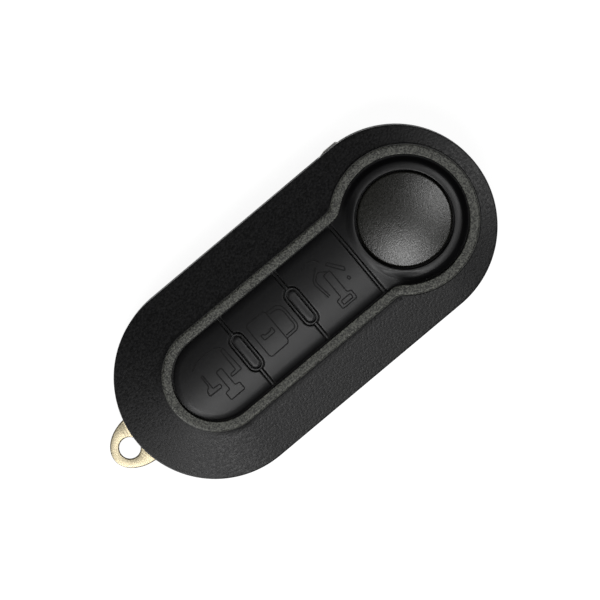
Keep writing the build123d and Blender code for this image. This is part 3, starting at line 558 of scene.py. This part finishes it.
# Ribs between the keys. The first two stop at the pills.
rib_end = SLOT_HALF - KEY_GAP
rib_stop = PILL_L / 2 - RIB_OVERLAP
for rib_x in RIB_X:
    whole = rib_x == RIB_X[2]
    for y0, y1 in ((-rib_end, rib_end),) if whole else ((-rib_end, -rib_stop), (rib_stop, rib_end)):
        steps = round((y1 - y0) / RIB_STEP)
        legs = [
            ("run", RIB_W, 0, 1), ("run", 0, y1 - y0, steps), ("run", -RIB_W, 0, 1),
            ("run", 0, y0 - y1, steps),
        ]
        foot, top = [loop(bm, (rib_x - RIB_W / 2, y0, z), legs) for z in (LIP_Z, CASE_T)]
        skin(bm, [foot, top])
        walls = set(bm.faces)
        bmesh.ops.contextual_create(bm, geom=top)
        places = [y0 + (y1 - y0) * step / steps for step in range(1, steps)]
        slice_across(bm, set(bm.faces) - walls, places)
        drape(bm, [v for v in bm.verts if abs(v.co.z - CASE_T) < 0.001], crown_z)
        bmesh.ops.contextual_create(bm, geom=foot)
        soften(bm, top, RIB_SOFT, 2)
# Pills: a flat ring, a narrow groove and a raised middle
half = (PILL_L - PILL_W) / 2
pill_r = PILL_W / 2
step_r = pill_r - PILL_LAND
core_r = step_r - PILL_GROOVE
for pill_x in RIB_X[:2]:
    low = stadium_y(bm, pill_x, pill_r, half, LIP_Z)
    bed_out = stadium_y(bm, pill_x, step_r, half, PILL_GROOVE_Z)
    bed_in = stadium_y(bm, pill_x, core_r, half, PILL_GROOVE_Z + OFF_LEVEL)
    below = set(bm.verts)
    outer, land, core, middle = [
        stadium_y(bm, pill_x, radius, half, CASE_T) for radius in (pill_r, step_r, core_r, PILL_SPINE)
    ]
    drape(bm, set(bm.verts) - below, crown_z)
    skin(bm, [low, outer, land, bed_out, bed_in, core, middle])
    bmesh.ops.holes_fill(bm, edges=middle + low, sides=0)
    soften(bm, outer + land + core, PILL_SOFT, 2)
piece(bm, "keypad_rubber", "case", mat_black, ["keypad_mat"])


# ---------------------------------------------------------------- keys
def key_line(bm, left, right, z, inset=0.0):
    """Outline of one key, set inwards by a distance, with round notches that clear the pills beside it."""
    half = SLOT_HALF - KEY_GAP - inset
    clear = PILL_W / 2 + KEY_GAP + inset
    side_gap = RIB_W / 2 + KEY_GAP + inset
    bend = degrees(acos(side_gap / clear))
    pill_y = (PILL_L - PILL_W) / 2
    mouth = pill_y + sqrt(clear**2 - side_gap**2)
    round_end = left not in RIB_X
    x0 = SLOT_LEFT_X if round_end else left + side_gap
    x1 = right - side_gap

    def side_by_pill(x, way):
        """The side of the key beside a pill, up or down."""
        return [
            ("run", 0, way * (half - mouth), 16), ("turn", x, -way * pill_y, -bend, 10),
            ("run", 0, way * 2 * pill_y, 10), ("turn", x, way * pill_y, -bend, 10),
            ("run", 0, way * (half - mouth), 16),
        ]

    right_side = [("run", 0, 2 * half, 60)] if right == RIB_X[2] else side_by_pill(right, 1)
    left_side = [("turn", SLOT_LEFT_X, 0, 180, 72)] if round_end else side_by_pill(left, -1)
    along, back = ("run", x1 - x0, 0, 6), ("run", x0 - x1, 0, 6)
    return loop(bm, (x0, -half, z), [along, *right_side, back, *left_side])


def key_z(x, y):
    """Face of a key: the shared curve, which rolls down along the edge beside the rim."""
    reach = hypot(x - SLOT_LEFT_X, y) if x < SLOT_LEFT_X else abs(y)
    roll = max(reach - EDGE_ROLL_AT, 0) / (SLOT_HALF - KEY_GAP - EDGE_ROLL_AT)
    return crown_z(x, y) - EDGE_ROLL * roll**2


KEYS = ("boot_key", "lock_key", "unlock_key")
half_slices = round(EDGE_ROLL_AT / KEY_SLICE)
middle_slices = [KEY_SLICE * step for step in range(-half_slices, half_slices + 1)]
roll_slices = [EDGE_ROLL_AT + ROLL_SLICE * step for step in range(8)]
FACE_FROM_Z = KEY_Z + 1
for name, left, right, stem_x in zip(KEYS, KEY_EDGES, KEY_EDGES[1:], STEM_X):
    bm = bmesh.new()
    base = key_line(bm, left, right, KEY_Z)
    rows = [key_line(bm, left, right, CASE_T + inset, inset) for inset in KEY_ROWS]
    skin(bm, [base] + rows)
    bmesh.ops.contextual_create(bm, geom=base)
    border = set(bm.faces)
    bmesh.ops.contextual_create(bm, geom=rows[-1])
    slice_across(bm, set(bm.faces) - border, middle_slices)
    face = [f for f in bm.faces if all(v.co.z > FACE_FROM_Z for v in f.verts)]
    slice_across(bm, face, roll_slices + [-y for y in roll_slices])
    drape(bm, [v for v in bm.verts if v.co.z > FACE_FROM_Z], key_z)
    rim_edges = [e for e in bm.edges if is_edge(e) and all(v.co.z > KEY_Z + 0.05 for v in e.verts)]
    soften(bm, rim_edges, KEY_SOFT)
    bmesh.ops.create_cone(
        bm, cap_ends=True, segments=40, radius1=STEM_R, radius2=STEM_R, depth=STEM_H,
        matrix=Matrix.Translation((stem_x, 0, STEM_Z + STEM_H / 2)),
    )
    piece(bm, name + "_rubber", name + "_top", mat_black, [name])


# ---------------------------------------------------------------- signs on the keys
def sign(name, body, strokes):
    """A sign in raised beads, half sunk in the curved face. Each stroke is (closed, corners)."""
    beads = bpy.data.curves.new(name + "_line", "CURVE")
    beads.dimensions = "3D"
    beads.bevel_depth = SIGN_LINE / 2 * MM
    beads.bevel_resolution = 1
    beads.resolution_u = 3
    beads.use_fill_caps = True
    for closed, corners in strokes:
        ends = corners[1:] + (corners[:1] if closed else ())
        points = []
        for (x0, y0), (x1, y1) in zip(corners, ends):
            steps = max(1, round(hypot(x1 - x0, y1 - y0) / SIGN_STEP))
            points += [(x0 + (x1 - x0) * t / steps, y0 + (y1 - y0) * t / steps) for t in range(steps)]
        if not closed:
            points.append(corners[-1])
        bead = beads.splines.new("NURBS")
        bead.points.add(len(points) - 1)
        for knot, (x, y) in zip(bead.points, points):
            knot.co = (x * MM, y * MM, (crown_z(x, y) - SIGN_SINK) * MM, 1)
        bead.order_u = 3
        bead.use_cyclic_u = closed
        bead.use_endpoint_u = not closed
    shaped = bpy.data.objects.new(name + "_line", beads)
    scene.collection.objects.link(shaped)
    ready = shaped.evaluated_get(bpy.context.evaluated_depsgraph_get())
    mesh = bpy.data.meshes.new_from_object(ready)
    bpy.data.objects.remove(shaped)
    bm = bmesh.new()
    bm.from_mesh(mesh)
    bpy.data.meshes.remove(mesh)
    bmesh.ops.scale(bm, vec=(1 / MM, 1 / MM, 1 / MM), verts=bm.verts)
    bmesh.ops.remove_doubles(bm, verts=bm.verts, dist=0.001)
    piece(bm, name, body, sign_black)


# Open boot: the lid, the lamps at both sides and the post on its block
sign("boot_sign", "boot_key_top", (
    (False, ((-23.3, 3.45), (-21.8, 4.1), (-19.5, 4.3), (-17.7, 4.1), (-16.7, 3.45))),
    (True, ((-17.1, 3.1), (-16.45, 3.1), (-16.2, -1.7), (-18.5, -1.7), (-18.3, -1.2), (-17.1, -1.15))),
    (True, ((-22.7, 1.8), (-22.35, 1.8), (-22.35, -1.2), (-20.85, -1.3), (-20.9, -2.0), (-23.7, -1.9),
            (-23.4, -0.8), (-22.75, -0.5))),
    (True, ((-20.15, 0.7), (-18.9, 0.7), (-18.9, -3.15), (-18.0, -3.25), (-18.0, -4.8), (-21.15, -4.8),
            (-21.15, -3.25), (-20.15, -3.15))),
))
# Padlock on its side: the body with its keyhole and the double line of the shackle
sign("lock_sign", "lock_key_top", (
    (True, ((-10.95, 3.2), (-10.6, 3.65), (-7.0, 3.6), (-6.6, 3.15), (-6.6, -3.1), (-6.95, -3.5),
            (-10.6, -3.55), (-10.95, -3.15))),
    (False, ((-6.55, 3.1), (-4.5, 2.95), (-3.8, 2.4), (-3.5, 1.4), (-3.5, -1.9), (-3.85, -2.5),
             (-4.5, -2.75), (-6.5, -2.75))),
    (False, ((-6.2, 2.5), (-4.85, 2.35), (-4.25, 1.95), (-4.0, 1.2), (-4.0, -1.75), (-4.3, -2.2),
             (-6.3, -2.25))),
    (True, ((-9.85, 0.55), (-9.45, 0.55), (-9.25, 0.15), (-7.9, 0.15), (-7.7, 0.5), (-7.4, 0.5),
            (-7.4, -0.5), (-9.85, -0.5))),
))
# Third sign in thin lines: a roof with two arms over a post
sign("unlock_sign", "unlock_key_top", (
    (False, ((3.05, 4.6), (4.5, 5.15), (5.9, 4.7), (6.4, 3.8))),
    (False, ((5.3, 3.6), (3.5, 2.1), (3.2, 1.3), (3.75, -2.0))),
    (False, ((3.95, 1.9), (3.75, 1.3), (4.1, -1.9))),
    (False, ((3.95, 1.9), (5.0, 2.7), (6.4, 1.75))),
    (True, ((6.9, 2.75), (7.4, 3.0), (9.35, 0.4), (9.0, -0.2))),
    (True, ((8.5, -1.2), (8.9, -1.2), (9.0, -1.85), (8.6, -1.9))),
    (True, ((5.45, 1.6), (6.9, 1.6), (6.9, -3.3), (7.65, -3.45), (7.65, -5.15), (4.4, -5.15), (4.4, -3.45),
            (5.45, -3.3))),
    (True, ((5.0, -3.85), (7.1, -3.85), (7.1, -4.7), (5.0, -4.7))),
))

# ---------------------------------------------------------------- release button
dome_r = (BUTTON_R**2 + BUTTON_SAG**2) / (2 * BUTTON_SAG)
dome_deg = degrees(asin(BUTTON_R / dome_r))
cap_z = CROWN_Z - BUTTON_CAP
bm = bmesh.new()
crest = bm.verts.new((PIVOT_X, 0, CROWN_Z))
arc = bmesh.ops.spin(
    bm, geom=[crest], cent=(PIVOT_X, 0, CROWN_Z - dome_r), axis=(0, 1, 0), angle=radians(dome_deg),
    steps=24,
)
tip = arc["geom_last"][0]
bore = BUTTON_R - BUTTON_WALL
for x, z in ((BUTTON_R, SKIRT_Z), (bore, SKIRT_Z), (bore, cap_z), (0, cap_z)):
    tip = bmesh.ops.extrude_vert_indiv(bm, verts=[tip])["verts"][0]
    tip.co = (PIVOT_X + x, 0, z)
bmesh.ops.spin(
    bm, geom=bm.verts[:] + bm.edges[:], cent=(PIVOT_X, 0, 0), axis=(0, 0, 1), angle=radians(360),
    steps=128, use_merge=True,
)
bmesh.ops.remove_doubles(bm, verts=bm.verts, dist=0.001)
outside = {
    v for v in bm.verts
    if abs(hypot(v.co.x - PIVOT_X, v.co.y) - BUTTON_R) < 0.001 and v.co.z > SKIRT_Z + 1
}
soften(bm, [e for e in bm.edges if outside.issuperset(e.verts)], BRIM_SOFT, 5)
for turned in HOOK_TURNS:
    spot = Matrix.Translation((PIVOT_X, 0, SKIRT_Z)) @ Matrix.Rotation(radians(turned), 4, "Z")
    spot = spot @ Matrix.LocRotScale(Vector((HOOK_AT, 0, HOOK_SIZE[2] / 2)), None, Vector(HOOK_SIZE))
    bmesh.ops.create_cube(bm, size=1, matrix=spot)
piece(bm, "button_cap", "button", button_black, ["release_button"])

# ---------------------------------------------------------------- spring under the button
spring_low = CUP_Z + RUN_FIT
spring_tall = cap_z - RUN_FIT - spring_low
coil_steps = 48 * SPRING_TURNS
coil_rise = (spring_tall - SPRING_WIRE) / coil_steps
bm = bmesh.new()
wire_end = Matrix.Translation((PIVOT_X + SPRING_R, 0, spring_low + SPRING_WIRE / 2))
wire = bmesh.ops.create_circle(
    bm, segments=14, radius=SPRING_WIRE / 2, matrix=wire_end @ Matrix.Rotation(radians(90), 4, "X")
)
ends = list({edge for vert in wire["verts"] for edge in vert.link_edges})
coil = bmesh.ops.spin(
    bm, geom=wire["verts"] + ends, cent=(PIVOT_X, 0, 0), axis=(0, 0, 1), dvec=(0, 0, coil_rise),
    angle=radians(360 * SPRING_TURNS), steps=coil_steps,
)
ends += [item for item in coil["geom_last"] if isinstance(item, bmesh.types.BMEdge)]
bmesh.ops.holes_fill(bm, edges=ends, sides=0)
spring = piece(bm, "flip_spring_coil", "case", spring_steel, ["flip_spring"])
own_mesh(spring)

# ---------------------------------------------------------------- key blade
bm = slab((
    (TIP_X, BLADE_Y - TIP_HALF), (TIP_X + TIP_L, BLADE_Y - BLADE_HALF), (TANG_X, BLADE_Y - BLADE_HALF),
    (TANG_X, TANG_Y), (HEEL_X1, TANG_Y), (HEEL_X1, NOSE_Y), (NOSE_X1, NOSE_Y),
    (NOSE_X1, NOSE_Y + NOSE_RISE1), (HEEL_X1, HEEL_Y), (HEEL_X0, HEEL_Y), (NOSE_X0, NOSE_Y + NOSE_RISE0),
    (NOSE_X0, NOSE_Y), (HEEL_X0, NOSE_Y), (HEEL_X0, BLADE_Y + BLADE_HALF),
    (TIP_X + TIP_L, BLADE_Y + BLADE_HALF), (TIP_X, BLADE_Y + TIP_HALF),
), BLADE_Z, BLADE_TOP)
soften(bm, [e for e in bm.edges if is_level(e)], GRIND, 2)
blade = piece(bm, "blade_blank", "blade_assembly", blade_steel, ["key_blade"])
mill_x = TIP_X - MILL_RUN_OUT
cut_out(blade, [
    milled(mill_x, MILL_END_X, BLADE_Y - MILL_Y, MILL_W, BLADE_TOP - MILL_D, BLADE_TOP + 1),
    milled(mill_x, MILL_END_X, BLADE_Y + MILL_Y, MILL_W, BLADE_Z - 1, BLADE_Z + MILL_D),
])

# ---------------------------------------------------------------- keyring tab
bm = bmesh.new()
rounded = loop(bm, (TAB_X, TAB_A, PART_Z), [
    ("turn", TAB_X, 0, 180, 72), ("run", TAB_END - TAB_X, 0, 4), ("run", 0, 2 * TAB_A, 4),
    ("run", TAB_X - TAB_END, 0, 4),
])
bmesh.ops.scale(
    bm, vec=(1, TAB_B / TAB_A, 1), space=Matrix.Translation((-TAB_X, 0, 0)), verts=bm.verts
)
holes = ring(bm, RING_X, 0, RING_R, PART_Z, 64) + ring(bm, POST_X, 0, POST_R, PART_Z, 48)
flat_plate(bm, rounded + holes, TAB_T)
bmesh.ops.recalc_face_normals(bm, faces=bm.faces)
soften(bm, [e for e in bm.edges if is_edge(e) and is_level(e)], TAB_SOFT)
piece(bm, "ring_tab", "case", tab_brass, ["keyring_tab"])


# ---------------------------------------------------------------- camera
VIEW_TURN, VIEW_LEAN = 40.0, (1.8, 1.7)
VIEW_SPAN, CAMERA_FAR, FILM = 0.10714, 1.2, 36.0
TARGET = Vector((-0.735, 0.69, 6.0)) * MM

turn = radians(VIEW_TURN)
camera_data = bpy.data.cameras.new("camera")
camera_data.sensor_width = FILM
camera_data.lens = FILM * CAMERA_FAR / VIEW_SPAN
camera_data.clip_end = 10.0
camera = bpy.data.objects.new("camera", camera_data)
scene.collection.objects.link(camera)
look = Vector((sin(radians(VIEW_LEAN[0])), sin(radians(VIEW_LEAN[1])), 1.0)).normalized()
up = Vector((sin(turn), cos(turn), 0.0))
up = (up - look * up.dot(look)).normalized()
right = up.cross(look)
eye_at = TARGET + look * CAMERA_FAR
camera.matrix_world = Matrix((
    (right.x, up.x, look.x, eye_at.x),
    (right.y, up.y, look.y, eye_at.y),
    (right.z, up.z, look.z, eye_at.z),
    (0.0, 0.0, 0.0, 1.0),
))
scene.camera = camera

# ---------------------------------------------------------------- floor, world and lamps
FLOOR_HALF, FLOOR_GAP = 1.5, 0.1 * MM

bm = bmesh.new()
bmesh.ops.create_grid(
    bm, x_segments=1, y_segments=1, size=FLOOR_HALF, matrix=Matrix.Translation((0, 0, -FLOOR_GAP))
)
floor_mesh = bpy.data.meshes.new("floor")
bm.to_mesh(floor_mesh)
bm.free()
floor = bpy.data.objects.new("floor", floor_mesh)
scene.collection.objects.link(floor)
paper = bpy.data.materials.new("white_paper")
paper.use_nodes = True
shapes, links, shader = nodes_of(paper)
shader.inputs["Base Color"].default_value = (0.24, 0.24, 0.24, 1)
shader.inputs["Roughness"].default_value = 1.0
shader.inputs["Specular IOR Level"].default_value = 0.0
rays = shapes.new("ShaderNodeLightPath")
seen = rays.outputs["Is Camera Ray"]
for way in ("Is Glossy Ray", "Is Transmission Ray"):
    either = shapes.new("ShaderNodeMath")
    either.operation = "MAXIMUM"
    links.new(seen, either.inputs[0])
    links.new(rays.outputs[way], either.inputs[1])
    seen = either.outputs["Value"]
glow = shapes.new("ShaderNodeMath")
glow.operation = "MULTIPLY"
glow.inputs[1].default_value = 0.91
links.new(seen, glow.inputs[0])
shader.inputs["Emission Color"].default_value = (1, 1, 1, 1)
links.new(glow.outputs["Value"], shader.inputs["Emission Strength"])
floor_mesh.materials.append(paper)

world = bpy.data.worlds.new("world")
scene.world = world
world.use_nodes = True
world.node_tree.nodes["Background"].inputs["Color"].default_value = (1.0, 1.0, 1.0, 1.0)
world.node_tree.nodes["Background"].inputs["Strength"].default_value = 0.065


def lamp(name, azimuth, off_top, width, depth, power, far=1.2):
    """A soft rectangular lamp aimed at the object, off_top degrees down from straight above. Its sizes
    and distance are in metres."""
    data = bpy.data.lights.new(name, "AREA")
    data.shape = "RECTANGLE"
    data.size, data.size_y = width, depth
    data.energy = power
    obj = bpy.data.objects.new(name, data)
    scene.collection.objects.link(obj)
    side_way = Vector((cos(radians(azimuth)), sin(radians(azimuth)), 0))
    place = side_way * sin(radians(off_top)) + Vector((0, 0, cos(radians(off_top))))
    obj.location = place * far
    obj.rotation_euler = place.to_track_quat("Z", "Y").to_euler()


lamp("soft_left", azimuth=232, off_top=23, width=0.46, depth=0.42, power=4.9)
lamp("soft_right", azimuth=350, off_top=25, width=0.5, depth=0.45, power=3.4)
lamp("side_left", azimuth=200, off_top=66, width=0.8, depth=0.6, power=10.5)

scene.view_settings.view_transform = "Standard"
